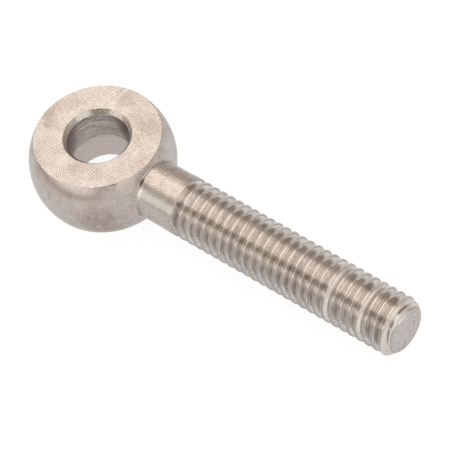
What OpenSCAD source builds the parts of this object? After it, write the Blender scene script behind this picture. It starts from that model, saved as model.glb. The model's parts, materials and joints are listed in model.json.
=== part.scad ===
// Rod end in one piece: a turned ball with two milled flats and a cross bore, on a threaded shank.
// The origin is the centre of the bore. The bore runs along Z and the shank along +X.

/* [Eye] */
// Diameter of the ball that the eye is turned to
ball_d = 12; // [11:0.1:15]
// Width of the eye across its two flats
eye_w = 5.9; // [5:0.1:8]
// Diameter of the cross bore
bore_d = 5; // [3:0.1:7]
// Width of the chamfer at each mouth of the bore
bore_chamfer = 0.33; // [0.1:0.01:0.8]

/* [Neck] */
// Diameter of the plain neck between the ball and the thread
neck_d = 4.88; // [4:0.02:5.2]
// Radius of the fillet where the neck meets the ball
neck_fillet = 0.25; // [0.1:0.05:1]

/* [Thread] */
// Outer diameter of the thread
thread_d = 4.94; // [4.2:0.02:6]
// Pitch of the thread
pitch = 0.8; // [0.7:0.05:1.25]
// Distance from the centre of the bore to the first cut of the thread
thread_from = 8.8; // [8:0.1:14]
// Turns over which the first groove deepens to the full thread
run_out = 0.5; // [0.5:0.05:2]
// Angle about the shank, from +Y, where the first groove begins
start_angle = 215; // [0:5:360]

/* [Tip] */
// Distance from the centre of the bore to the flat face of the tip
reach = 30.6; // [20:0.1:40]
// Diameter of the flat face of the tip
tip_d = 3.8; // [2:0.1:4.1]
// Length of the chamfer that leads from the tip up to the thread
tip_chamfer = 0.6; // [0.3:0.05:2]

/* [Hidden] */

// Segments in the drawing of a full circle
$fn = 96;
// Steps in each turn of the groove
steps = 24;
// How far a cutter runs clear of the surface that it cuts
clear = 1;
// How deep the fillet's arc cuts into the ball and the neck, so that their surfaces cross
bite = 0.004;

ball_r = ball_d / 2;
neck_r = neck_d / 2;
thread_r = thread_d / 2;

// Metric thread form: flanks at 30 degrees, crests an eighth of a pitch wide
flank_angle = 30;
sharp_height = pitch * cos(flank_angle);
thread_depth = sharp_height * 17 / 24;
crest_w = pitch / 8;
root_w = pitch - crest_w - 2 * thread_depth * tan(flank_angle);
// The groove's mouth stands proud of the crests, short of where two turns would meet
mouth_rise = 0.7 * crest_w / (2 * tan(flank_angle));
mouth_w = root_w + 2 * (thread_depth + mouth_rise) * tan(flank_angle);
// The cone that leads from the neck up to the thread, three quarters of a pitch long
lead_l = 0.75 * pitch;

// Turns of groove before its first bite and in all, past the tip by a whole turn
lead_turns = run_out * mouth_rise / thread_depth;
all_turns = lead_turns + (reach - thread_from) / pitch + 1;

// Half outline of the ball, as radius from the shank's axis and distance along it
module ball_outline() {
    intersection() {
        circle(r = ball_r);
        translate([0, -ball_r]) square([ball_r, ball_d]);
    }
}

// Half outline of the neck, the thread's blank and the chamfered tip
module shank_outline() {
    polygon([
        [0, 0],
        [neck_r, 0],
        [neck_r, thread_from - pitch / 2 - lead_l],
        [thread_r, thread_from - pitch / 2],
        [thread_r, reach - tip_chamfer],
        [tip_d / 2, reach],
        [0, reach]
    ]);
}

// Half outline of the fillet: a wedge that reaches the centre of its arc, less the arc's circle
module fillet_outline() {
    centre_r = neck_r + neck_fillet - bite;
    centre_x = sqrt(pow(ball_r + neck_fillet - bite, 2) - pow(centre_r, 2));
    inner = (ball_r - neck_fillet) / (ball_r + neck_fillet);
    difference() {
        polygon([
            [centre_r * inner, centre_x * inner],
            [centre_r, centre_x],
            [neck_r - neck_fillet, centre_x]
        ]);
        translate([centre_r, centre_x]) circle(r = neck_fillet);
    }
}

// The piece as it comes off the lathe, turned about the shank's axis
module turned_blank() {
    rotate([0, 90, 0]) rotate_extrude() {
        ball_outline();
        fillet_outline();
        shank_outline();
    }
}

// Stock taken off above and below the eye to leave its two flats
module milled_stock() {
    for (side = [-1, 1])
        translate([0, 0, side * (eye_w / 2 + ball_r)])
            cube([ball_d + clear, ball_d + clear, ball_d], center = true);
}

// The cross bore, chamfered at both mouths
module cross_bore() {
    cylinder(d = bore_d, h = eye_w + 2 * clear, center = true);
    for (side = [-1, 1])
        translate([0, 0, side * (eye_w / 2 - bore_chamfer)])
            mirror([0, 0, side < 0 ? 1 : 0])
                cylinder(
                    r1 = bore_d / 2,
                    r2 = bore_d / 2 + bore_chamfer + clear,
                    h = bore_chamfer + clear
                );
}

// Corners of the groove's section at a turn, as distance along the shank and radius
function groove_section(turn) =
    let (
        middle = thread_from + pitch * turn,
        lift = max(0, thread_depth * (1 - turn / run_out)),
        root_r = thread_r - thread_depth + lift,
        mouth_r = thread_r + mouth_rise + lift
    )
    [
        [middle - mouth_w / 2, mouth_r],
        [middle - root_w / 2, root_r],
        [middle + root_w / 2, root_r],
        [middle + mouth_w / 2, mouth_r]
    ];

// The thread's groove: one section carried along a right-hand helix, closed at both ends
module thread_groove() {
    count = ceil(all_turns * steps);
    corners = len(groove_section(0));
    points = [
        for (i = [0:count])
            let (turn = i / steps - lead_turns, angle = start_angle + 360 * turn)
            for (corner = groove_section(turn))
                [corner[0], corner[1] * cos(angle), corner[1] * sin(angle)]
    ];
    sides = [
        for (i = [0:count - 1], k = [0:corners - 1])
            let (
                a = i * corners + k,
                b = i * corners + (k + 1) % corners,
                c = b + corners,
                d = a + corners
            )
            each [[a, c, b], [a, d, c]]
    ];
    first = [for (k = [0:corners - 1]) k];
    last = [for (k = [corners - 1:-1:0]) count * corners + k];
    polyhedron(points = points, faces = concat(sides, [first, last]));
}

module rod_end() {
    color("#bcb2a9")
    difference() {
        turned_blank();
        milled_stock();
        cross_bore();
        thread_groove();
    }
}

rod_end();
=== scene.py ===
"""Looks of the rod end: a ball eye with milled flats and a cross bore, on a neck and a threaded shank.

Everything is in metres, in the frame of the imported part. The origin is the centre of the bore, the bore runs
along Z and the shank along +X. The piece is one closed mesh that stands for the CAD node of the same shape.
"""

import json
import math

import bmesh
import bpy
import numpy as np
from bpy.props import FloatProperty, FloatVectorProperty, IntProperty, PointerProperty
from mathutils import Matrix, Vector


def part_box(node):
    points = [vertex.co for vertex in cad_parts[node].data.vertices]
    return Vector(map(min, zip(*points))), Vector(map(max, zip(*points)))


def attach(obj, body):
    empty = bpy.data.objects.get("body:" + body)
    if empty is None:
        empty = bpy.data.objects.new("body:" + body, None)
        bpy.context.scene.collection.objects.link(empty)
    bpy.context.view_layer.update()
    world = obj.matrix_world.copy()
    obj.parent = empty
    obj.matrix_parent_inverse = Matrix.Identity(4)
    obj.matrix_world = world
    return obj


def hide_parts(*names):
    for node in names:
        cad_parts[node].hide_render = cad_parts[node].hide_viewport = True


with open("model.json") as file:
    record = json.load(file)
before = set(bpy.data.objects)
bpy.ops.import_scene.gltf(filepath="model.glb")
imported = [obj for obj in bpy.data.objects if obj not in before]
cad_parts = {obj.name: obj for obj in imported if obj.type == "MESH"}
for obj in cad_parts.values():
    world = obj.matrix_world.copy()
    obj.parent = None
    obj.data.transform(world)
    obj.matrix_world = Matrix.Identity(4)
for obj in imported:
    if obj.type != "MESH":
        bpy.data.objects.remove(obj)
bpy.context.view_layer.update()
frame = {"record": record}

bl_info = {
    "name": "Rod End",
    "version": (1, 0, 0),
    "blender": (4, 5, 0),
    "location": "3D View > Sidebar > Rod End",
    "description": "Builds a turned and milled steel rod end, its surface finishes and a small photo studio",
    "category": "Object",
}

MM = 0.001
LOW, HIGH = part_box("rod_end")
MOUNTS = {m["name"]: m for m in frame["record"]["mounts"]}


def mount_size(name, key):
    """A size of one of the record's mounts, in metres."""
    return MOUNTS[name]["dims"][key] * MM


def length(name, description, default):
    """A length that the user may change, in metres."""
    return FloatProperty(
        name=name, description=description, default=default, min=0.0, unit="LENGTH", precision=5
    )


def share(name, description, default):
    """A number from 0 to 1 that the user may change."""
    return FloatProperty(
        name=name, description=description, default=default, min=0.0, max=1.0, subtype="FACTOR"
    )


def number(name, description, default):
    """A plain number that the user may change."""
    return FloatProperty(name=name, description=description, default=default)


def angle(name, description, degrees):
    """An angle that the user may change, given here in degrees."""
    return FloatProperty(name=name, description=description, default=math.radians(degrees), subtype="ANGLE")


def colour(name, description, default):
    """A linear colour that the user may change."""
    return FloatVectorProperty(
        name=name, description=description, default=default, size=3, min=0.0, max=1.0, subtype="COLOR"
    )


class EyeSizes(bpy.types.PropertyGroup):
    """Sizes of the eye."""

    ball_radius: length("Ball radius", "Radius of the ball that the eye is turned to", HIGH.y)
    half_width: length("Half width", "Distance from the middle of the eye to each flat", HIGH.z)
    bore_radius: length("Bore radius", "Radius of the cross bore", mount_size("eye_bore", "r_mm"))
    bore_wall: length("Bore wall", "Length of the bore's plain wall", mount_size("eye_bore", "length_mm"))
    mouth_depth: length("Mouth depth", "Depth of each chamfer along the bore", 0.37 * MM)
    rim_radius: length("Rim radius", "Rounding where each flat meets the ball", 0.04 * MM)
    fillet: length("Fillet", "Radius of the fillet between the ball and the neck", 0.25 * MM)


class ShankSizes(bpy.types.PropertyGroup):
    """Sizes of the neck, the thread and the tip."""

    neck_radius: length("Neck radius", "Radius of the plain neck", mount_size("neck", "r_mm"))
    thread_radius: length("Thread radius", "Radius over the crests", mount_size("shank_thread", "r_mm"))
    pitch: length("Pitch", "Pitch of the thread", 0.8 * MM)
    thread_from: length("Thread from", "Distance from the bore's centre to the first cut", 8.8 * MM)
    lead: length("Lead", "Length of the cone from the neck up to the thread", 0.6 * MM)
    run_out: number("Run-out", "Turns over which the first groove deepens", 0.5)
    start: angle("Start", "Angle about the shank, from +Y, where the first groove begins", 215)
    crest_softness: length("Crest softness", "Rounding of the two edges of each crest", 0.035 * MM)
    fill_depth: length("Fill depth", "Depth below the crest of the filling of a full turn", 0.15 * MM)
    fill_width: length("Fill width", "Width of the filling of a full turn", 0.30 * MM)
    reach: length("Reach", "Distance from the bore's centre to the tip", HIGH.x)
    tip_radius: length("Tip radius", "Radius of the flat face of the tip", 1.9 * MM)
    tip_chamfer: length("Tip chamfer", "Length of the chamfer behind the tip", 0.6 * MM)
    tip_rim: length("Tip rim", "Rounding of the rim of the tip's face", 0.03 * MM)


class MeshDetail(bpy.types.PropertyGroup):
    """How finely the surfaces are drawn."""

    around: IntProperty(name="Around", description="Segments about the shank, a multiple of 8", default=96)
    bend: IntProperty(name="Bend", description="Steps across each rounded edge", default=4)
    patch: IntProperty(name="Patch", description="Rows between the fillet and the ball's side", default=10)


class SteelColours(bpy.types.PropertyGroup):
    """Colours of the steel as each tool leaves it."""

    flat: colour("Flats", "Milled flats", (0.560, 0.525, 0.490))
    flat_dark: colour("Flats, dark", "Valleys of the milling marks", (0.350, 0.300, 0.260))
    ball: colour("Ball", "Turned side of the eye", (0.505, 0.445, 0.410))
    ball_dark: colour("Ball, dark", "Duller streaks on the ball", (0.385, 0.335, 0.300))
    ball_cool: colour("Ball, cool", "Paler, bluer patches on the ball", (0.545, 0.520, 0.505))
    # Brown stains, and painted shade in an arc under the bright strip and low on the front of the ball
    ball_stain_and_shade: colour("Ball, brown", "Brown stains on the ball", (0.330, 0.268, 0.232))
    # Painted highlight in a strip below the rim of the ball and in spots near the neck
    ball_highlight: colour("Ball, worn", "Strip that tumbling wore bright below the rim", (0.600, 0.526, 0.472))
    bore: colour("Bore", "Smooth part of the bore's wall", (0.530, 0.460, 0.440))
    bore_dark: colour("Bore, dark", "Rough rings in the bore", (0.265, 0.228, 0.195))
    # Darker steel at two places on the wall, at both sides of the rough half
    bore_end: colour("Bore, ends", "Dull steel at both sides of the rough half", (0.240, 0.185, 0.180))
    mouth: colour("Mouth", "Chamfers at the bore's mouths", (0.585, 0.530, 0.490))
    neck: colour("Neck", "Turned neck", (0.515, 0.470, 0.435))
    # Also painted shade in the first groove, in the last groove and in lines along the neck
    neck_dark: colour("Neck, dark", "Duller rings on the neck", (0.310, 0.265, 0.230))
    groove: colour("Groove", "Rolled flanks of the thread", (0.690, 0.655, 0.625))
    # Also painted shade on the flanks at some angles about the shank
    groove_dark: colour("Groove, dark", "Duller parts of the flanks", (0.440, 0.400, 0.370))
    # With the next colour, lit and shaded copies of the crests: painted highlight at some angles about the
    # shank
    crest: colour("Crest", "Burnished crests of the thread", (0.700, 0.650, 0.610))
    # Painted shade on the crests away from the lit angles, and on the flanks just below the crests
    crest_shade: colour("Crest, dark", "Duller crests away from the top", (0.350, 0.320, 0.300))
    root: colour("Root", "Root of the thread", (0.700, 0.650, 0.605))
    # Painted shade on the lower side of the root, with random tone
    root_shade: colour("Root, dark", "Duller root on the lower side", (0.400, 0.365, 0.335))
    full_turn: colour("Full turn", "Pale matt filling of the few full turns", (0.700, 0.660, 0.625))
    # Painted shade in the corner of the fillet and in a dash just below the rim of the flat
    painted_shade: colour("Residue", "Dark residue in the corner of the fillet", (0.090, 0.070, 0.055))
    # Painted shade in lines along the thread; also a blot on the tip's chamfer and a speck on its face
    smear_and_shade: colour("Smear", "Thin brown residue along the root", (0.290, 0.245, 0.210))
    # Painted highlight: glints on the flat, the bore's chamfers, the tip's chamfer and the fillet
    painted_highlight: colour("Burnished", "Brightest spots, where the steel was rubbed", (0.900, 0.860, 0.810))
    tip: colour("Tip", "Face of the tip", (0.560, 0.530, 0.512))
    tip_dark: colour("Tip, dark", "Rings and specks on the face of the tip", (0.390, 0.360, 0.340))
    # Painted highlight in streaks along the rim of the tip's face
    tip_highlight: colour("Tip, worn", "Bright streaks along the rim of the tip", (0.880, 0.780, 0.690))


class Studio(bpy.types.PropertyGroup):
    """The camera and the lights."""

    lens: FloatProperty(name="Lens", description="Focal length for a sensor of 36 mm, in mm", default=268.0)
    azimuth: angle("Azimuth", "Turn of the camera about the bore, from +X towards +Y", -41.9006)
    elevation: angle("Elevation", "Angle of the camera above the floor", 51.9302)
    roll: angle("Roll", "Lean of the bore's axis to the left of upright", 11.7610)
    distance: length("Distance", "Distance from the camera to the point that it aims at", 270.0 * MM)
    aim: FloatVectorProperty(
        name="Aim",
        description="Point that the camera aims at",
        default=(9.90 * MM, 2.57 * MM, -4.50 * MM),
        size=3,
        subtype="TRANSLATION",
    )
    floor_white: share("Floor white", "Glow of the floor, over its shading", 0.92)
    floor_shade: share("Floor shade", "Share of the light that the floor gives back", 0.12)
    room: colour("Room", "Soft light from all round", (0.690, 0.620, 0.560))


class RodEndSettings(bpy.types.PropertyGroup):
    """All that a user may change."""

    eye: PointerProperty(type=EyeSizes)
    shank: PointerProperty(type=ShankSizes)
    detail: PointerProperty(type=MeshDetail)
    steel: PointerProperty(type=SteelColours)
    studio: PointerProperty(type=Studio)


# Material slots of the piece, in order
FLAT, BALL, BORE, SHANK, TIP = range(5)


def grid(points, slot, matt=0.0):
    """A surface from points on a grid with two directions: its points, quads and slot, and how matt each is.

    The quad at (i, j) has the corners (i, j), (i + 1, j), (i + 1, j + 1) and (i, j + 1).
    """
    rows, columns = points.shape[:2]
    index = np.arange(rows * columns).reshape(rows, columns)
    quads = np.stack([index[:-1, :-1], index[1:, :-1], index[1:, 1:], index[:-1, 1:]], -1)
    matt = np.broadcast_to(matt, (rows, columns))
    return points.reshape(-1, 3), quads.reshape(-1, 4), slot, matt.reshape(-1)


def about_z(radius, height, turn):
    """Points at each radius and height of a profile, turned about Z: (r cos t, r sin t, z)."""
    radius, turn = np.asarray(radius)[:, None], np.asarray(turn)[None, :]
    height = np.asarray(height)[:, None] + 0 * turn
    return np.stack([radius * np.cos(turn), radius * np.sin(turn), height], -1)


def about_x(along, radius, turn):
    """Points at each place and radius, turned about X from +Y towards +Z: (x, r cos t, r sin t)."""
    along, radius, turn = np.broadcast_arrays(along, radius, turn)
    return np.stack([along, radius * np.cos(turn), radius * np.sin(turn)], -1)


def eased(start, end, steps, hold):
    """Steps from start to end, with one more close to each end so that the edge there stays crisp."""
    way = np.linspace(0, 1, steps + 1)
    close = hold / abs(end - start)
    return start + (end - start) * np.unique(np.concatenate([way, [close, 1 - close]]))


# Half the span of the neck's patch: share * asin(width * (half width + fillet) / ball radius)
PATCH_WIDTH, PATCH_SHARE = 1.2, 0.93
# How fast the patch's rows widen away from the fillet
PATCH_POWER = 1.3
# Distance from an edge to the extra row that keeps it crisp: on a flat, and in the bore
FLAT_HOLD, BORE_HOLD = 0.04 * MM, 0.015 * MM
# Steps across each flat, each chamfer and the bore's wall
FLAT_STEPS, CHAMFER_STEPS, WALL_STEPS = 12, 4, 16


def eye_turns(eye, detail):
    """Angles about Z: those that the neck's patch spans, and those of the rest of the ball."""
    quarter = detail.around // 4
    reach = math.asin(PATCH_WIDTH * (eye.half_width + eye.fillet) / eye.ball_radius) * PATCH_SHARE
    patch = np.linspace(-reach, reach, quarter + 1)
    rest = np.linspace(reach, 2 * math.pi - reach, 5 * quarter + 1)
    return patch, rest


def rim_lean(eye):
    """Elevation on the ball where the rounding of the rim begins: the rounding's centre lies on that line."""
    return math.asin((eye.half_width - eye.rim_radius) / (eye.ball_radius - eye.rim_radius))


def eye_surfaces(eye, detail):
    """The ball, the flats and the bore, as profiles turned about Z.

    The ball's side has the radius sqrt(R^2 - z^2), and each rim is an arc that meets it and the flat.
    """
    patch, rest = eye_turns(eye, detail)
    around = np.concatenate([patch, rest[1:]])
    lean = rim_lean(eye)
    bend = np.linspace(lean, math.pi / 2, detail.bend + 1)
    centre = (eye.ball_radius - eye.rim_radius) * math.cos(lean)
    rim_r = centre + eye.rim_radius * np.cos(bend)
    rim_z = eye.half_width - eye.rim_radius + eye.rim_radius * np.sin(bend)
    mouth = eye.bore_radius + eye.half_width - eye.bore_wall / 2
    wall = eye.half_width - eye.mouth_depth
    flat_r = eased(centre, mouth, FLAT_STEPS, FLAT_HOLD)[::-1]
    chamfer_r = eased(mouth, eye.bore_radius, CHAMFER_STEPS, BORE_HOLD)[::-1]
    chamfer_z = eased(eye.half_width, wall, CHAMFER_STEPS, BORE_HOLD)[::-1]
    sides = []
    for side in (1, -1):
        sides += [
            grid(about_z(rim_r, side * rim_z, around), FLAT),
            grid(about_z(flat_r, side * eye.half_width + 0 * flat_r, around), FLAT),
            grid(about_z(chamfer_r, side * chamfer_z, around), BORE),
        ]
    bore_z = eased(-wall, wall, WALL_STEPS, BORE_HOLD)
    side_z = eye.ball_radius * np.sin(np.linspace(-lean, lean, detail.around // 4 + 1))
    side_r = np.sqrt(eye.ball_radius**2 - side_z**2)
    return [
        *sides,
        grid(about_z(eye.bore_radius + 0 * bore_z, bore_z, around), BORE),
        grid(about_z(side_r, side_z, rest), BALL),
    ]


def neck_patch(eye, shank, detail):
    """The part of the ball around the neck, and the fillet.

    Rows run from the circle where the fillet meets the ball out to a rectangle in angle and height, as
    straight lines seen along X, and are then laid on the sphere: x = sqrt(R^2 - y^2 - z^2). The fillet is an
    arc turned about X.
    """
    quarter = detail.around // 4
    turn = np.linspace(0, 2 * math.pi, detail.around + 1)
    arc_r = shank.neck_radius + eye.fillet
    arc_x = math.sqrt((eye.ball_radius + eye.fillet) ** 2 - arc_r**2)
    meet = eye.ball_radius / (eye.ball_radius + eye.fillet)
    circle = np.stack([np.cos(turn), np.sin(turn)], -1) * arc_r * meet

    spread = eye_turns(eye, detail)[0]
    lean = rim_lean(eye)
    level = eye.ball_radius * np.sin(np.linspace(-lean, lean, quarter + 1))
    top = math.sqrt(eye.ball_radius**2 - level[-1] ** 2) * np.sin(spread)
    edge = np.sqrt(eye.ball_radius**2 - level**2) * math.sin(spread[-1])
    right = np.stack([edge, level], -1)
    upper = np.stack([top[::-1], level[-1] + 0 * top], -1)
    left = np.stack([-edge[::-1], level[::-1]], -1)
    lower = np.stack([top, level[0] + 0 * top], -1)
    frame_line = np.concatenate([right[:-1], upper[:-1], left[:-1], lower])
    # The rectangle is listed from its lower right corner, an eighth of a turn before the circle's first point
    frame_line = np.roll(frame_line[:-1], -(detail.around // 8), axis=0)
    frame_line = np.concatenate([frame_line, frame_line[:1]])

    way = np.linspace(0, 1, detail.patch + 1)[:, None, None] ** PATCH_POWER
    flat = circle * (1 - way) + frame_line * way
    x = np.sqrt(eye.ball_radius**2 - (flat**2).sum(-1))
    patch = np.stack([x, flat[..., 0], flat[..., 1]], -1)

    start = math.atan2(-arc_r, -arc_x)
    bend = np.linspace(start, -math.pi / 2, 2 * detail.bend + 1)[:, None]
    fillet_x = arc_x + eye.fillet * np.cos(bend)
    fillet_r = arc_r + eye.fillet * np.sin(bend)
    fillet = about_x(fillet_x, fillet_r, turn[None, :])
    return [grid(patch, BALL), grid(fillet, SHANK)]


def soft_min(a, b, softness):
    """The smaller of two heights, with the corner where they cross rounded over that softness."""
    near = np.clip(softness - np.abs(a - b), 0, None)
    return np.minimum(a, b) - near**2 / (4 * softness)


# Metric thread form: the flanks' angle, the crest's width as a share of the pitch, and the thread's depth as
# a share of the height of a sharp thread. The corners of the root are rounded over the softness
FLANK = math.radians(30)
CREST_SHARE, DEPTH_SHARE = 1 / 8, 17 / 24
ROOT_SOFTNESS = 0.08 * MM
# Turns that the die left full on their side towards the tip, counted from the first cut to the middle of
# each, then half the length of each and how much of it fades at both ends
FULL_TURNS = (19.18, 23.18, 26.18)
FULL_HALF, FULL_FADE = 0.5, 0.125
# The groove's edges begin crisper: pitches past the first cut where that ends, pitches over which it fades,
# and the share of the rounding that is missing before
CRISP_UNTIL, CRISP_FADE, CRISPNESS = 0.5, 0.4, 0.85


def shank_radius(shank, x, turn):
    """Radius of the shank at a place and an angle: the lower of the turned blank and the thread's groove.

    The groove has flanks at 30 degrees and a narrow flat root, and its centre moves one pitch a turn. In the
    few full turns a step fills the groove from the crest towards the tip. Also gives where that step lies, as
    0 or 1.
    """
    full = shank.thread_radius
    climb = shank.thread_from - shank.pitch / 2
    blank = np.interp(
        x,
        [climb - shank.lead, climb, shank.reach - shank.tip_chamfer, shank.reach],
        [shank.neck_radius, full, full, shank.tip_radius],
    )
    crest = shank.pitch * CREST_SHARE
    depth = shank.pitch * math.cos(FLANK) * DEPTH_SHARE
    root = shank.pitch - crest - 2 * depth * math.tan(FLANK)
    turns_in = (x - shank.thread_from) / shank.pitch
    wound = (turn - shank.start) / (2 * math.pi)
    phase = turns_in - wound
    groove = np.full(np.shape(phase), 2 * full)
    for k in (np.floor(phase), np.floor(phase) + 1):
        off = np.abs(phase - k) * shank.pitch
        shape = -soft_min(0 * off, (root / 2 - off) / math.tan(FLANK), ROOT_SOFTNESS)
        lift = np.clip(depth * (1 - (k + wound) / shank.run_out), 0, None)
        groove = np.minimum(groove, full - depth + shape + lift)
    crest_at = np.floor(phase - 0.5) + 0.5
    past = (phase - crest_at) * shank.pitch - crest / 2
    away = (np.abs(crest_at + wound - middle) for middle in FULL_TURNS)
    shown = sum(np.clip((FULL_HALF - turns) / FULL_FADE, 0, 1) for turns in away)
    filled = shank.fill_depth + np.clip(past - shank.fill_width, 0, None) / math.tan(FLANK)
    left = full - filled - (1 - shown) * depth
    # The first groove leaves the neck at an edge crisper than those that the die rounded
    early = np.clip((CRISP_UNTIL - turns_in) / CRISP_FADE, 0, 1)
    softness = shank.crest_softness * (1 - CRISPNESS * early)
    return soft_min(blank, np.maximum(groove, left), softness), (left > groove) * 1.0


# Rows along the neck, and places of the thread's rows from the groove's middle to the crest's, in pitches
NECK_ROWS = 14
HALF_SECTION = (0, 0.06, 0.12, 0.2, 0.3, 0.38, 0.425, 0.4375, 0.45, 0.5)
# Turns drawn past both ends of the thread before its ends are cut square
SPARE_TURNS = 2
# On the face of the tip: distance from its rim to the next ring, then the other rings and the share of the
# rim's radius at which they begin
FACE_HOLD = 0.03 * MM
FACE_RINGS, FACE_SHARE = 12, 0.92


def shank_surfaces(eye, shank, detail):
    """The neck, the thread and the tip.

    The thread's grid follows the helix: its rows are lines of constant place in the groove's section,
    x = first cut + pitch * (row + turns), and each row runs on into the row one pitch further when it has
    gone round once. Both its ends are cut square. The rim of the tip is a quarter of an ellipse.
    """
    turn = np.linspace(0, 2 * math.pi, detail.around + 1)[None, :]
    begin = math.sqrt((eye.ball_radius + eye.fillet) ** 2 - (shank.neck_radius + eye.fillet) ** 2)
    climb = shank.thread_from - shank.pitch / 2 - shank.lead
    neck_x = np.linspace(begin, climb, NECK_ROWS)[:, None]
    neck = about_x(neck_x, shank.neck_radius, turn)

    half = np.array(HALF_SECTION)
    section = np.concatenate([half, 1 - half[-2:0:-1]])
    end = shank.reach - shank.tip_rim
    first = math.floor((climb - shank.thread_from) / shank.pitch) - SPARE_TURNS
    last = math.ceil((end - shank.thread_from) / shank.pitch) + SPARE_TURNS
    rows = (np.arange(first, last)[:, None] + section[None, :]).reshape(-1, 1)
    x = shank.thread_from + shank.pitch * (rows + (turn - shank.start) / (2 * math.pi))
    x = np.clip(x, climb, end)
    radius, matt = shank_radius(shank, x, turn)
    thread = about_x(x, radius, turn)

    slope = math.atan2(shank.tip_chamfer, shank.thread_radius - shank.tip_radius)
    edge = float(shank_radius(shank, np.array([end]), np.array([0.0]))[0][0])
    fall = edge - shank.tip_radius + shank.tip_rim * math.cos(slope)
    arc = np.linspace(0, 1, detail.bend + 1)[:, None] * math.pi / 2
    rim_x = end + shank.tip_rim * np.sin(arc)
    rim_r = edge - fall * (1 - np.cos(arc))
    face_r = np.append(rim_r[-1] - FACE_HOLD, np.linspace(FACE_SHARE, 0, FACE_RINGS) * rim_r[-1])
    face_r = np.concatenate([rim_r[-1], face_r])[:, None]
    return [
        grid(neck, SHANK),
        grid(thread, SHANK, matt),
        grid(about_x(rim_x, rim_r, turn), TIP),
        grid(about_x(shank.reach, face_r, turn), TIP),
    ]


# Points closer than this are made one
SAME_POINT = 2e-4 * MM


def closed_mesh(name, surfaces, materials):
    """One closed mesh from surfaces that meet edge to edge, with equal points made one."""
    points, quads, slots, matt, used = [], [], [], [], 0
    for surface_points, surface_quads, slot, surface_matt in surfaces:
        points.append(surface_points)
        quads.append(surface_quads + used)
        slots.append(np.full(len(surface_quads), slot))
        matt.append(surface_matt)
        used += len(surface_points)
    mesh = bpy.data.meshes.new(name)
    mesh.from_pydata(np.concatenate(points), [], np.concatenate(quads))
    for material in materials:
        mesh.materials.append(material)
    mesh.polygons.foreach_set("material_index", np.concatenate(slots).astype(np.int32))
    mesh.attributes.new("matt", "FLOAT", "POINT").data.foreach_set("value", np.concatenate(matt))
    work = bmesh.new()
    work.from_mesh(mesh)
    bmesh.ops.remove_doubles(work, verts=work.verts, dist=SAME_POINT)
    bmesh.ops.recalc_face_normals(work, faces=work.faces)
    open_edges = sum(not edge.is_manifold for edge in work.edges)
    work.to_mesh(mesh)
    work.free()
    if open_edges:
        raise RuntimeError(f"{name} has {open_edges} open edges")
    mesh.shade_smooth()
    return mesh


# How much of its usual brightening steel keeps where it is seen at a low angle
EDGE_TINT = (0.82, 0.82, 0.82, 1.0)
# Features of the finest grain in each millimetre
GRAIN_SCALE = 8.0


class Value:
    """A number that varies over a surface, as a shader socket. Arithmetic on it adds Math nodes."""

    def __init__(self, graph, socket):
        self.graph, self.socket = graph, socket

    def math(self, operation, *others):
        return self.graph.add("ShaderNodeMath", {"operation": operation}, dict(enumerate((self, *others))))

    def __add__(self, other):
        return self.math("ADD", other)

    def __sub__(self, other):
        return self.math("SUBTRACT", other)

    def __rsub__(self, other):
        return self.graph.add("ShaderNodeMath", {"operation": "SUBTRACT"}, {0: other, 1: self})

    def __mul__(self, other):
        return self.math("MULTIPLY", other)

    def __truediv__(self, other):
        return self.math("DIVIDE", other)

    def __pow__(self, other):
        return self.math("POWER", other)

    __radd__ = __add__
    __rmul__ = __mul__

    def smooth(self, low, high):
        """0 below low, 1 above high, and a smooth step between them."""
        inputs = {"Value": self, "From Min": low, "From Max": high}
        return self.graph.add("ShaderNodeMapRange", {"interpolation_type": "SMOOTHSTEP"}, inputs)


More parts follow.
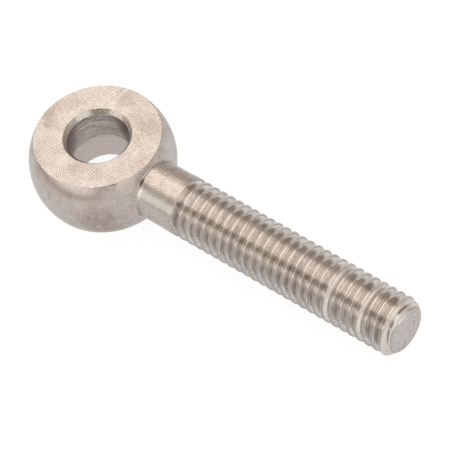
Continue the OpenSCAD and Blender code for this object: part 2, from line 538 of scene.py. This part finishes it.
class Graph:
    """The nodes of one material or world."""

    def __init__(self, tree):
        self.tree = tree
        tree.nodes.clear()

    def add(self, kind, settings=None, inputs=None, output=0):
        """Adds a node of that type, sets its settings and then its sockets, and gives one of its outputs."""
        node = self.tree.nodes.new(kind)
        for name, setting in (settings or {}).items():
            setattr(node, name, setting)
        for key, value in (inputs or {}).items():
            if isinstance(value, Value):
                self.tree.links.new(value.socket, node.inputs[key])
            else:
                node.inputs[key].default_value = value
        return Value(self, node.outputs[output]) if node.outputs else None

    def place(self):
        """The place on the piece in millimetres, as x, y and z."""
        here = self.add("ShaderNodeTexCoord", output="Object")
        here = self.add("ShaderNodeVectorMath", {"operation": "SCALE"}, {0: here, "Scale": 1 / MM})
        return [self.add("ShaderNodeSeparateXYZ", inputs={0: here}, output=axis) for axis in range(3)]

    def vector(self, x, y, z):
        return self.add("ShaderNodeCombineXYZ", inputs={0: x, 1: y, 2: z})

    def spot(self, here, centre, reach):
        """1 at a place, falling smoothly to 0 at a distance from it, in millimetres along x, y and z."""
        away = [(at - middle) / part for at, middle, part in zip(here, centre, reach)]
        return sum(part * part for part in away).smooth(1.0, 0.0)

    def spots(self, here, parts):
        """The sum of several spots, each given by its centre, its reach and its strength."""
        return sum(self.spot(here, centre, reach) * strength for centre, reach, strength in parts)

    def band(self, value, middle, reach):
        """1 where a value equals the middle, falling smoothly to 0 at a distance from it."""
        return (value - middle).math("ABSOLUTE").smooth(reach, 0.0)

    def bands(self, value, parts):
        """The sum of several bands, each given by its middle, its reach and its strength."""
        return sum(self.band(value, middle, reach) * strength for middle, reach, strength in parts)

    def noise(self, x, y, z, detail=2.0, roughness=0.5):
        """Noise from 0 to 1 whose features are about one unit of x, y and z long."""
        inputs = {"Vector": self.vector(x, y, z), "Scale": 1.0, "Detail": detail, "Roughness": roughness}
        return self.add("ShaderNodeTexNoise", {"noise_dimensions": "3D"}, inputs)

    def grain(self, here):
        """The finest grain of the steel, the same in all directions."""
        return self.noise(*(at * GRAIN_SCALE for at in here), detail=4.0, roughness=0.6)

    def blend(self, share, first, second):
        """A colour between two colours, each a link or three numbers."""
        first, second = (c if isinstance(c, Value) else (*c, 1.0) for c in (first, second))
        settings = {"data_type": "RGBA", "clamp_factor": True}
        return self.add("ShaderNodeMix", settings, {0: share, 6: first, 7: second}, output=2)

    def bump(self, height):
        """A normal tilted by a height in millimetres."""
        return self.add("ShaderNodeBump", inputs={"Height": height, "Distance": MM, "Strength": 1.0})

    def metal(self, base, roughness, height):
        """The steel itself, with a relief of that height in millimetres, joined to the output."""
        inputs = {"Base Color": base, "Metallic": 1.0, "Roughness": roughness, "Normal": self.bump(height)}
        inputs["Specular Tint"] = EDGE_TINT
        shader = self.add("ShaderNodeBsdfPrincipled", inputs=inputs)
        self.add("ShaderNodeOutputMaterial", inputs={"Surface": shader})


def new_graph(name):
    """A new material of that name and its empty graph."""
    material = bpy.data.materials.new(name)
    material.use_nodes = True
    return material, Graph(material.node_tree)


# All places and sizes of marks are in millimetres. A spot is given by its centre and its reach along x, y and
# z, a band by its middle and its reach, and both also by their strength where several are added up.

# The milling cutter: radius of its arcs and its feed along Y. Its two passes: x of both paths, and x of the
# line where they meet with half its blur
CUTTER_RADIUS, FEED = 4.4, 0.205
RIGHT_PASS, LEFT_PASS = 2.87, -2.4
PASS_EDGE, PASS_BLUR = -0.85, 0.25
# The pale ridge beside that line: x and reach, and the y between which it comes in
RIDGE = (-1.15, 0.35)
RIDGE_FROM = (1.0, 2.5)
FLAT_DULL = ((0.6, 4.4, 2.95), (2.2, 1.9, 1.0))
FLAT_BROWN = ((-5.0, -1.4, 2.95), (1.4, 2.6, 1.0))
# A small painted highlight on the rim of the flat
FLAT_GLINT = ((2.98, -4.29, 2.94), (0.14, 0.12, 0.1))


def milling_marks(graph, x, y, path, waver):
    """Arcs that a face cutter leaves as it feeds along Y: sin(2 pi (y + sqrt(R^2 - (x - path)^2)) / feed)."""
    off = x - path
    arc = (CUTTER_RADIUS**2 - off * off).math("MAXIMUM", 0.01).math("SQRT")
    return ((y + arc + waver) * (2 * math.pi / FEED)).math("SINE") * 0.5 + 0.5


def milled_flat(settings):
    """Milled flats: arcs of the cutter in two passes, a tone step where they meet, faint stains and a painted
    glint.
    """
    material, graph = new_graph("steel_milled_flat")
    steel = settings.steel
    x, y, z = here = graph.place()
    waver = graph.noise(x * 0.6, y * 0.6, 0.0, detail=3.0) * 0.22
    edge = graph.noise(0.0, y * 0.8, 5.0) * 0.5 - 0.25
    right = (x + edge).smooth(PASS_EDGE - PASS_BLUR, PASS_EDGE + PASS_BLUR)
    marks_right = milling_marks(graph, x, y, RIGHT_PASS, waver)
    marks_left = milling_marks(graph, x, y, LEFT_PASS, waver)
    marks = marks_left + (marks_right - marks_left) * right
    crossed = milling_marks(graph, x, y * -1.0, RIGHT_PASS, waver)
    cross_share = graph.noise(x * 0.5, y * 0.5, 11.0).smooth(0.45, 0.65) * 0.5
    marks = (marks + (crossed - marks) * cross_share) ** 1.6
    depth = graph.noise(x * 0.8, y * 0.8, 3.0, detail=3.0).smooth(0.3, 0.65) * 0.6 + 0.4
    grain = graph.grain(here)
    stain = graph.noise(x * 0.5, y * 0.5, 7.0, detail=3.0).smooth(0.45, 0.72)
    ridge = graph.band(x + edge, *RIDGE) * y.smooth(*RIDGE_FROM)
    spoiled = graph.spot(here, *FLAT_DULL) * 0.2 + graph.spot(here, *FLAT_BROWN) * (stain + 0.2)
    tone = marks * depth * 1.35 + grain * 2.9 - 1.56 + stain * 0.45 - ridge * 0.4 + spoiled
    base = graph.blend(tone, steel.flat, steel.flat_dark)
    # A painted highlight: a small glint on the rim
    base = graph.blend(graph.spot(here, *FLAT_GLINT) * 1.5, base, steel.painted_highlight)
    graph.metal(base, grain * 0.12 + 0.25, marks * depth * -0.0070 + grain * 0.012)
    return material


# The strip of painted highlight below the rim of the ball and the arc of painted shade under it: direction
# along both, and for each its height in the middle, how fast it rises away from there, and the blur of its
# edge or its reach
STRIP_ALONG = (math.cos(math.radians(25)), math.sin(math.radians(25)))
STRIP_LEVEL, STRIP_BEND, STRIP_EDGE = 2.2, 0.165, (-0.05, 0.38)
ARC_LEVEL, ARC_BEND, ARC_REACH = 2.07, 0.060, 0.55
# Places across, between which both come in, and along, between which the arc fades out
FRONT, ARC_END = (1.0, 3.0), (2.4, 0.8)
COOL_SPOTS = (
    ((-1.0, -5.9, -0.5), (2.2, 2.2, 2.0), 0.4),
    ((5.2, 2.8, 0.8), (2.6, 2.6, 2.2), 0.6),
    ((-3.2, -5.0, 0.8), (2.2, 1.8, 2.6), 0.8),
)
# Painted shade low on the front of the ball, then a brown stain under the rim on its left
BROWN_SHADE_LOW = ((3.6, -4.6, -1.0), (2.6, 2.4, 2.8))
BROWN_LEFT = ((-1.5, -5.3, 2.4), (1.7, 1.2, 1.1))
# Spots of painted highlight near the neck
HIGHLIGHT_SPOTS = (
    ((5.0, -2.2, 2.5), (1.3, 1.5, 1.3), 0.8),
    ((4.6, -3.0, 2.0), (1.5, 2.0, 1.8), 0.35),
)
# A dash of painted shade just below the rim
RIM_SHADE = ((4.28, -3.14, 2.88), (0.35, 0.45, 0.06))


def turned_ball(settings):
    """The turned ball: fine rings about the shank's axis, softened by tumbling, stains, painted shade and a
    painted highlight.

    The painted highlight is a strip that lies below the rim and ends at z = a + b t^2, where t is the place
    along the rim from its middle, and an arc of painted shade lies under it, level on its right and rising on
    its left in the same way.
    """
    material, graph = new_graph("steel_turned_ball")
    steel = settings.steel
    x, y, z = here = graph.place()
    rings = graph.noise(x * 14.0, y * 0.9, z * 0.9, detail=3.0, roughness=0.6)
    streaks = graph.noise(x * 1.3, y * 0.7, z * 0.7, detail=3.0)
    grain = graph.grain(here)
    patches = graph.noise(x * 0.7, y * 0.7, z * 0.7)
    mottle = graph.noise(x * 4.5, y * 1.8, z * 1.8, detail=3.0, roughness=0.7)
    specks = graph.noise(x * 5.0, y * 5.0, z * 5.0, detail=1.0).smooth(0.60, 0.72)
    tone = streaks.smooth(0.35, 0.75) * 0.6 + rings * 0.5 + grain * 3.0 + mottle * 2.0 - 2.65
    base = graph.blend(tone + specks * 0.7, steel.ball, steel.ball_dark)
    cool = patches.smooth(0.5, 0.65) * 0.4 + graph.spots(here, COOL_SPOTS)
    base = graph.blend(cool * (1.4 - grain), base, steel.ball_cool)
    # Painted shade low on the front of the ball, mottled, and a brown stain under the rim on its left
    brown = graph.spot(here, *BROWN_SHADE_LOW) * (mottle * 2.4 + grain * 2.0 + streaks * 1.2 - 2.0)
    brown = brown + graph.spot(here, *BROWN_LEFT) * streaks * 0.6
    base = graph.blend(brown, base, steel.ball_stain_and_shade)
    along = x * STRIP_ALONG[0] + y * STRIP_ALONG[1]
    front = (x * STRIP_ALONG[1] - y * STRIP_ALONG[0]).smooth(*FRONT)
    left = along.math("MINIMUM", 0.0)
    # An arc of painted shade under the strip of painted highlight
    arc = graph.band(z - left * left * ARC_BEND, ARC_LEVEL, ARC_REACH)
    arc = arc * front * along.smooth(*ARC_END) * (streaks + 0.25)
    base = graph.blend(arc, base, steel.ball_stain_and_shade)
    # A strip of painted highlight below the rim, and spots of it near the neck
    strip = (z - along * along * STRIP_BEND - STRIP_LEVEL).smooth(*STRIP_EDGE) * front
    painted_light = strip + graph.spots(here, HIGHLIGHT_SPOTS)
    base = graph.blend(painted_light * (2.2 - grain * 1.6 - mottle * 1.6), base, steel.ball_highlight)
    # A dash of painted shade just below the rim
    base = graph.blend(graph.spot(here, *RIM_SHADE) * 0.8, base, steel.painted_shade)
    graph.metal(base, rings * 0.08 + 0.26, rings * 0.0015 + grain * 0.0080)
    return material


# In the bore: z between which the rough half begins, its two lines, and its darker ends and bright wall
ROUGH_FROM = (-0.26, -0.16)
BORE_LINES = ((1.65, 0.10, 1.8), (-0.12, 0.07, 1.0))
BORE_ENDS = (
    ((1.1, 2.3, 1.2), (1.6, 1.2, 1.7), 1.2),
    ((-2.4, -0.7, 1.2), (0.6, 1.1, 1.6), 0.5),
)
# On its chamfer: places of painted highlight and of painted shade
MOUTH_HIGHLIGHT = (
    ((-2.4, 1.1, 2.8), (0.9, 0.9, 1.0), 1.0),
    ((-0.2, 2.6, 2.8), (1.0, 0.9, 1.0), 1.0),
)
MOUTH_SHADE = ((-1.4, 2.2, 2.8), (1.4, 1.1, 1.0))


def bored_wall(settings):
    """The bore and its chamfers: bored from above and below, with rough rings in the upper half, and painted
    highlight and shade on the chamfers.
    """
    material, graph = new_graph("steel_bored_wall")
    steel = settings.steel
    x, y, z = here = graph.place()
    outside = (x * x + y * y).math("SQRT") - settings.eye.bore_radius / MM
    wall = outside.smooth(0.03, 0.01)
    upper = z.smooth(*ROUGH_FROM)
    rings = graph.noise(x * 0.6, y * 0.6, z * 5.0, detail=4.0, roughness=0.7)
    chatter = graph.noise(x * 3.0, y * 3.0, z * 10.0)
    grain = graph.grain(here)
    smooth_wall = graph.blend(rings * 0.8 + grain * 0.8 - 0.6, steel.bore, steel.bore_dark)
    rough_wall = rings * 3.4 + chatter * 2.0 + grain * 1.6 - 2.9 - graph.bands(z, BORE_LINES) * 0.6
    rough_wall = graph.blend(rough_wall, steel.bore, steel.bore_dark)
    base = graph.blend(upper, smooth_wall, rough_wall)
    base = graph.blend(graph.spots(here, BORE_ENDS), base, steel.bore_end)
    # Painted shade in one place on the chamfer, and painted highlight in two
    dark = graph.spot(here, *MOUTH_SHADE) * (grain * 3.0 + chatter - 1.2)
    chamfer = graph.blend(grain * 3.4 - 1.4 + dark, steel.mouth, steel.bore_dark)
    chamfer = graph.blend(graph.spots(here, MOUTH_HIGHLIGHT) * (1.0 - grain), chamfer, steel.painted_highlight)
    base = graph.blend(wall, chamfer, base)
    roughness = rings * 0.10 + wall * (upper * 0.12 - 0.27) + 0.40
    graph.metal(base, roughness, (rings * 0.010 + grain * 0.006) * (upper * 0.8 + 0.2))
    return material


# Lines of painted shade along the thread: angle about the shank, from +Y, and half width, in degrees
ROOT_SHADE_LINE = (67, 18)
LOW_SHADE_LINE = (123, 9)
# The same for the two parts of painted shade in the last groove in the chamfer of the tip, the gap in the
# lower one, and the part of the chamfer that gets painted glints
TIP_UPPER = (80, 20)
TIP_LOWER = (142, 34)
TIP_GAP = (132, 6)
TIP_LIT = (103, 34)
# Lines of painted highlight and of painted shade along the neck, by the cosine of their angle about the shank
NECK_HIGHLIGHT = ((-0.76, 0.12, 0.5), (-0.12, 0.14, 0.3))
NECK_SHADE = ((0.58, 0.10, 0.5), (0.09, 0.10, 0.5), (-0.87, 0.06, 0.3))
# On the chamfer of the tip: a darker ring, by its radius, and a blot
CHAMFER_RING = (1.97, 0.05)
BLOT = ((30.15, 0.25, 2.3), (0.16, 0.6, 0.4))
# In the fillet: a painted highlight along its edge and painted shade beside it
SHINE = ((5.74, -1.9, 1.55), (0.18, 1.0, 1.0))
FILLET_SHADE = ((5.52, -1.25, 2.15), (0.13, 0.5, 0.5))
# From a crest to the plane x = 0 at the angle 0, as an angle of which one turn is a pitch
CREST_PLACE = 2 * math.pi * 0.1


def along_line(upward, across, line):
    """1 along a line of constant angle about the shank, falling smoothly to 0 at its half width."""
    middle, reach = (math.radians(part) for part in line)
    up, side = upward - math.sin(middle), across - math.cos(middle)
    return (up * up + side * side).smooth(reach * reach, 0.0)


def turned_shank(settings):
    """The fillet, the neck and the thread: fine feed rings, bright rolled flanks below the crests, and painted
    light and shade.
    """
    material, graph = new_graph("steel_turned_shank")
    shank, steel = settings.shank, settings.steel
    x, y, z = here = graph.place()
    radius = (y * y + z * z).math("SQRT")
    upward, across = z / radius, y / radius
    # Depth below the crests, and distances past the first cut and past the start of the tip's chamfer
    depth = shank.thread_radius / MM - radius
    inside = x - shank.thread_from / MM
    ahead = x - (shank.reach - shank.tip_chamfer) / MM
    groove = depth.smooth(0.04, 0.10)
    root = depth.smooth(0.31, 0.41)
    top = depth.smooth(0.05, 0.02) * inside.smooth(0.2, 0.6)
    matt = graph.add("ShaderNodeAttribute", {"attribute_name": "matt"}, output="Fac")
    rings = graph.noise(x * 7.0, y * 0.4, z * 0.4, detail=4.0, roughness=0.6)
    grain = graph.grain(here)
    patches = graph.noise(x * 1.6, y * 1.2, z * 1.2, detail=3.0)

    # Cosine and sine of the place in the groove's section, and noise that is drawn out along the groove
    wound = x * (2 * math.pi * MM / shank.pitch)
    wave, side_wave = wound.math("COSINE"), wound.math("SINE")
    wave, side_wave = wave * across + side_wave * upward, side_wave * across - wave * upward
    drawn = graph.noise(wave * 2.0, side_wave * 2.0, x * 0.5 + across, detail=3.0, roughness=0.6)
    fine = graph.noise(wave * 6.0, side_wave * 6.0, x + across * 1.5, roughness=0.6)
    # How far the groove's surface leans from its middle: 1 on the flank that faces the tip, -1 on the other
    lean = side_wave * math.cos(CREST_PLACE) + wave * math.sin(CREST_PLACE)

    # The neck
    tone = rings * 0.9 + grain * 2.8 - 1.65 + patches.smooth(0.4, 0.8) * 0.4
    # Painted highlight and shade in lines along the neck at fixed angles
    painted_light = graph.bands(across, NECK_SHADE) - graph.bands(across, NECK_HIGHLIGHT)
    plain = graph.blend(tone + painted_light, steel.neck, steel.neck_dark)

    # The flanks, with painted light and shade by angle and painted shade just below the crests on both sides
    # of the shank, the crests, lit at some angles and in painted shade at the others, and the root
    lit = graph.band(upward, 0.11, 0.16) * graph.band(depth, 0.28, 0.18)
    worked = patches * 1.6 + drawn * 2.4 + fine * 2.0 + grain * 3.2 - 3.92
    shaded = graph.band(across, -0.54, 0.18) * 0.40 - upward.smooth(0.45, 0.85) * 0.36 - lit * 0.45
    flank = graph.blend(worked + shaded, steel.groove, steel.groove_dark)
    # Painted shade on the flanks just below the crests
    shoulder = across.smooth(0.25, 0.50) * depth.smooth(0.19, 0.10)
    under = upward.smooth(0.24, 0.06) * depth.smooth(0.20, 0.08) * 0.7
    flank = graph.blend(under + shoulder, flank, steel.crest_shade)
    base = graph.blend(groove, plain, flank)
    # Crests lit at some angles about the shank, and in painted shade at the others
    bright = across.smooth(0.08, -0.08) * across.smooth(-0.80, -0.70) + across.smooth(0.10, 0.28)
    crest = graph.blend(bright * (1.7 - grain * 1.4), steel.crest_shade, steel.crest)
    base = graph.blend(top, base, crest)
    # Painted shade on the lower side of the root and at one angle, with random tone
    low_side = upward.smooth(0.68, 0.52) * 0.75 + graph.band(upward, 0.42, 0.2) * 0.25
    low_side = low_side + grain * 1.2 + patches - 0.95
    base = graph.blend(root, base, graph.blend(low_side, steel.root, steel.root_shade))

    # Painted shade: lines along the thread at two angles, and the first groove except at one angle
    shade_line = along_line(upward, across, ROOT_SHADE_LINE) * lean.smooth(-0.9, -0.4) * depth.smooth(0.33, 0.45)
    deep = lean.smooth(-0.2, 0.2) * depth.smooth(0.24, 0.38)
    lines = shade_line + along_line(upward, across, LOW_SHADE_LINE) * (deep + top)
    lines = lines * (patches + drawn * 0.8 + fine * 2.0 + grain * 1.4 - 1.9) * inside.smooth(0.0, 0.4)
    base = graph.blend(lines, base, steel.smear_and_shade)
    start = graph.band(inside, 0.65, 0.35) * (1.0 - graph.band(across, -0.28, 0.25)) * (grain * 1.4 - 0.15)
    base = graph.blend(start, base, steel.neck_dark)

    # The chamfer of the tip, the full turns, and the last groove where it cuts the chamfer
    cuts = graph.noise(radius * 9.0, x * 1.5, 2.0).smooth(0.48, 0.66) * 0.9
    cuts = cuts + graph.band(radius, *CHAMFER_RING) * 0.4
    chamfer = graph.blend(grain * 2.4 - 1.1 + cuts, steel.full_turn, steel.neck_dark)
    base = graph.blend(ahead.smooth(-0.06, 0.02), base, chamfer)
    base = graph.blend(graph.spot(here, *BLOT), base, steel.smear_and_shade)
    base = graph.blend(matt, base, graph.blend(tone, steel.full_turn, steel.neck))
    slope = (shank.thread_radius - shank.tip_radius) / shank.tip_chamfer
    # Painted shade in the last groove, at two angles about the shank
    sunk = (depth - ahead * slope).smooth(0.01, 0.04) * ahead.smooth(0.12, 0.20)
    sunk = sunk * (along_line(upward, across, TIP_UPPER) + along_line(upward, across, TIP_LOWER))
    sunk = sunk * (1.0 - along_line(upward, across, TIP_GAP) * 0.8)
    base = graph.blend(sunk * (2.4 - grain * 0.8), base, steel.neck_dark)
    # Painted highlight: glints on the chamfer at one angle
    glints = graph.noise(radius * 16.0, upward * 1.5, across * 1.5).smooth(0.46, 0.58)
    glints = glints * along_line(upward, across, TIP_LIT) * ahead.smooth(0.24, 0.34)
    base = graph.blend(glints * (2.4 - grain), base, steel.painted_highlight)

    # A painted highlight on the fillet's edge, and painted shade beside it
    base = graph.blend(graph.spot(here, *SHINE) * grain, base, steel.painted_highlight)
    base = graph.blend(graph.spot(here, *FILLET_SHADE), base, steel.painted_shade)
    roughness = rings * 0.08 + 0.22 - groove * 0.08 + root * 0.16 + matt * 0.2
    height = rings * 0.0060 + grain * (0.0120 - groove * 0.0050) + (drawn + fine) * groove * 0.0060
    graph.metal(base, roughness, height)
    return material


# On the face of the tip: a ring about the shank's axis and the dark rim, by their radius, a small ring by its
# centre across and up, its radius and its reach, then a scuff, painted highlight in streaks along the rim and
# a speck
FACE_RING = (1.62, 0.09)
FACE_RIM = (1.80, 1.87)
MARK_AT = (0.62, -0.05)
MARK_RING = (0.28, 0.12)
SCUFF = ((30.6, -0.4, -1.4), (1.0, 0.6, 0.4))
RIM_STREAKS = ((30.6, -0.3, 1.85), (0.5, 1.0, 0.34))
SPECK = ((30.6, 1.0, -0.02), (1.0, 0.17, 0.17))


def faced_tip(settings):
    """The face of the tip: rings left by the facing cut about the shank's axis, specks, scratches and painted
    highlight along the rim.
    """
    material, graph = new_graph("steel_tip")
    steel = settings.steel
    x, y, z = here = graph.place()
    radius = (y * y + z * z).math("SQRT")
    rings = graph.noise(radius * 6.0, x * 2.0, 0.0, detail=3.0)
    grain = graph.grain(here)
    mottle = graph.noise(x * 2.0, y * 2.6, z * 2.6, detail=3.0, roughness=0.6)
    off_y, off_z = y - MARK_AT[0], z - MARK_AT[1]
    mark = graph.band((off_y * off_y + off_z * off_z).math("SQRT"), *MARK_RING) * grain.smooth(0.35, 0.6)
    marks = graph.band(radius, *FACE_RING) * 0.5 + mark * 1.3 + radius.smooth(*FACE_RIM)
    scuffs = graph.spot(here, *SCUFF) * grain.smooth(0.4, 0.6)
    tone = rings * 0.6 + grain * 4.6 + mottle * 2.0 - 3.4 + marks + scuffs
    base = graph.blend(tone, steel.tip, steel.tip_dark)
    # Painted highlight in streaks along the rim of the face
    streaks = graph.noise(radius * 16.0, y, z).smooth(0.40, 0.60)
    base = graph.blend(graph.spot(here, *RIM_STREAKS) * (streaks + 0.3), base, steel.tip_highlight)
    base = graph.blend(graph.spot(here, *SPECK), base, steel.smear_and_shade)
    graph.metal(base, rings * 0.1 + 0.3, rings * 0.003 + grain * 0.012 + mottle * 0.006)
    return material


class RODEND_OT_add_part(bpy.types.Operator):
    """Build the rod end as one closed mesh and give each surface its finish."""

    bl_idname = "rodend.add_part"
    bl_label = "Add Rod End"

    def execute(self, context):
        settings = context.scene.rod_end
        eye, shank, detail = settings.eye, settings.shank, settings.detail
        finishes = (milled_flat, turned_ball, bored_wall, turned_shank, faced_tip)
        surfaces = [
            *eye_surfaces(eye, detail),
            *neck_patch(eye, shank, detail),
            *shank_surfaces(eye, shank, detail),
        ]
        mesh = closed_mesh("rod_end_body", surfaces, [finish(settings) for finish in finishes])
        body = bpy.data.objects.new("rod_end_body", mesh)
        context.scene.collection.objects.link(body)
        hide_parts("rod_end")
        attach(body, "root")
        return {"FINISHED"}


def pale_surface(graph, white, shade):
    """What is seen as background: a plain glow for the camera and for reflections, over soft shading.

    The glow lights nothing, and the shading keeps the object's shadow.
    """
    seen = graph.add("ShaderNodeLightPath", output="Is Camera Ray")
    for kind in ("Is Glossy Ray", "Is Transmission Ray"):
        seen = seen.math("MAXIMUM", graph.add("ShaderNodeLightPath", output=kind))
    glow = graph.add("ShaderNodeEmission", inputs={"Color": (1, 1, 1, 1), "Strength": white})
    shading = graph.add("ShaderNodeBsdfDiffuse", inputs={"Color": (shade, shade, shade, 1)})
    lit = graph.add("ShaderNodeAddShader", inputs={0: glow, 1: shading})
    return graph.add("ShaderNodeMixShader", inputs={0: seen, 1: shading, 2: lit})


FLOOR_RADIUS, FLOOR_SIDES = 400 * MM, 64


def make_floor(studio, level):
    """A plain pale disc under the piece, at that height."""
    turn = np.linspace(0, 2 * math.pi, FLOOR_SIDES + 1)[:-1]
    points = np.stack([FLOOR_RADIUS * np.cos(turn), FLOOR_RADIUS * np.sin(turn), level + 0 * turn], -1)
    mesh = bpy.data.meshes.new("floor")
    mesh.from_pydata(points, [], [list(range(len(points)))])
    material, graph = new_graph("floor_pale")
    pale = pale_surface(graph, studio.floor_white, studio.floor_shade)
    graph.add("ShaderNodeOutputMaterial", inputs={"Surface": pale})
    mesh.materials.append(material)
    floor = bpy.data.objects.new("floor", mesh)
    bpy.context.scene.collection.objects.link(floor)


def facing(place, target):
    """The matrix of something at a place whose -Z axis points at a target."""
    place, target = Vector(place), Vector(target)
    turn = (place - target).to_track_quat("Z", "Y")
    return Matrix.Translation(place) @ turn.to_matrix().to_4x4()


def towards(azimuth, elevation, distance):
    """A point in that direction from the origin, with angles in degrees."""
    a, e = math.radians(azimuth), math.radians(elevation)
    return Vector((math.cos(e) * math.cos(a), math.cos(e) * math.sin(a), math.sin(e))) * distance


# Each lamp: azimuth and elevation in degrees, distance, width and height in metres, radiance and colour. Its
# place is counted from the origin, and it points at the target
LAMP_TARGET = (0.012, 0, 0)
LAMPS = {
    "softbox_overhead": (169, 45, 0.5, 0.61, 0.90, 1.12, (1.0, 0.93, 0.88)),
    "softbox_front": (-98, 18, 0.5, 0.62, 0.33, 0.74, (0.96, 1.0, 1.0)),
    "softbox_side": (-5, 28, 0.5, 0.60, 0.50, 0.60, (0.85, 0.95, 1.0)),
}


def make_lamps():
    """Area lamps, each with the power that gives its face that radiance: power = pi * area * radiance."""
    for name, (azimuth, elevation, distance, width, height, radiance, tint) in LAMPS.items():
        lamp = bpy.data.lights.new(name, "AREA")
        lamp.shape = "RECTANGLE"
        lamp.size, lamp.size_y = width, height
        lamp.energy = math.pi * width * height * radiance
        lamp.color = tint
        holder = bpy.data.objects.new(name, lamp)
        holder.matrix_world = facing(towards(azimuth, elevation, distance), LAMP_TARGET)
        bpy.context.scene.collection.objects.link(holder)


def make_world(studio):
    """Plain soft light from all round."""
    world = bpy.data.worlds.new("studio")
    world.use_nodes = True
    graph = Graph(world.node_tree)
    room = graph.add("ShaderNodeBackground", inputs={"Color": (*studio.room, 1)})
    graph.add("ShaderNodeOutputWorld", inputs={"Surface": room})
    bpy.context.scene.world = world


# Width of the camera's sensor in millimetres, and the distances between which it sees, in metres
SENSOR_WIDTH = 36.0
CLIP = (0.01, 10.0)


def make_camera(studio):
    """A camera on the sphere round its aim, leaned so that the bore's axis stands as in the photograph."""
    camera = bpy.data.cameras.new("camera")
    camera.lens = studio.lens
    camera.sensor_width = SENSOR_WIDTH
    camera.clip_start, camera.clip_end = CLIP
    holder = bpy.data.objects.new("camera", camera)
    aim = Vector(studio.aim)
    back = towards(math.degrees(studio.azimuth), math.degrees(studio.elevation), 1.0)
    right = Vector((0, 0, 1)).cross(back).normalized()
    upright = Matrix((right, back.cross(right), back)).transposed()
    lean = Matrix.Rotation(-studio.roll, 3, "Z")
    holder.matrix_world = Matrix.Translation(aim + back * studio.distance) @ (upright @ lean).to_4x4()
    bpy.context.scene.collection.objects.link(holder)
    bpy.context.scene.camera = holder


class RODEND_OT_set_studio(bpy.types.Operator):
    """Set the floor, the lamps, the world and the camera."""

    bl_idname = "rodend.set_studio"
    bl_label = "Set Studio"

    def execute(self, context):
        studio = context.scene.rod_end.studio
        make_floor(studio, LOW.z)
        make_lamps()
        make_world(studio)
        make_camera(studio)
        context.scene.view_settings.view_transform = "Standard"
        return {"FINISHED"}


class RODEND_PT_panel(bpy.types.Panel):
    """The sizes, the colours and the two operators."""

    bl_idname = "RODEND_PT_panel"
    bl_label = "Rod End"
    bl_space_type = "VIEW_3D"
    bl_region_type = "UI"
    bl_category = "Rod End"

    def draw(self, context):
        settings = context.scene.rod_end
        for name in ("eye", "shank", "detail", "steel", "studio"):
            box = self.layout.box()
            group = getattr(settings, name)
            box.label(text=name.capitalize())
            for key in group.__annotations__:
                box.prop(group, key)
        self.layout.operator(RODEND_OT_add_part.bl_idname)
        self.layout.operator(RODEND_OT_set_studio.bl_idname)


CLASSES = (
    EyeSizes,
    ShankSizes,
    MeshDetail,
    SteelColours,
    Studio,
    RodEndSettings,
    RODEND_OT_add_part,
    RODEND_OT_set_studio,
    RODEND_PT_panel,
)


def register():
    for cls in CLASSES:
        bpy.utils.register_class(cls)
    bpy.types.Scene.rod_end = PointerProperty(type=RodEndSettings)


def unregister():
    del bpy.types.Scene.rod_end
    for cls in reversed(CLASSES):
        bpy.utils.unregister_class(cls)


def main():
    register()
    bpy.ops.rodend.set_studio()
    bpy.ops.rodend.add_part()


if __name__ == "__main__":
    main()
